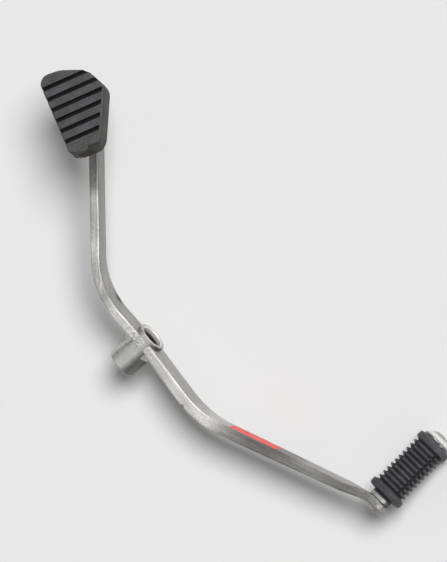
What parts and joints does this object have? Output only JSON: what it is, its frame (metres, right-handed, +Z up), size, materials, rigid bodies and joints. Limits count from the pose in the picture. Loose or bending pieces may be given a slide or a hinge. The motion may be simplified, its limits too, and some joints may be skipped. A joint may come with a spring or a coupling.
{
  "type": "motorcycle gear shift lever",
  "caption": "Heel-and-toe shift lever: flat bars welded to a pivot tube, a ribbed rubber toe peg on a domed pin, and a grooved rubber heel pad.",
  "frame": {"origin": "centre of the pivot bore, half way along the boss", "axes": "+X forward to the toe peg, +Y outward from the engine along the pivot bore, +Z up"},
  "size_m": [0.3306, 0.1291, 0.0743],
  "materials": {
    "plated_steel": "satin nickel-chrome plate",
    "bright_chrome": "polished",
    "black_rubber": "matt"
  },
  "bodies": {
    "root": {"pivot_boss": "plated_steel", "toe_arm": "plated_steel", "heel_arm": "plated_steel", "boss_weld": "plated_steel", "top_weld": "plated_steel", "peg_pin": "bright_chrome", "peg_weld": "plated_steel", "peg_rubber": "black_rubber", "heel_plate": "plated_steel", "heel_weld": "plated_steel", "heel_rubber": "black_rubber"}
  },
  "joints": []
}
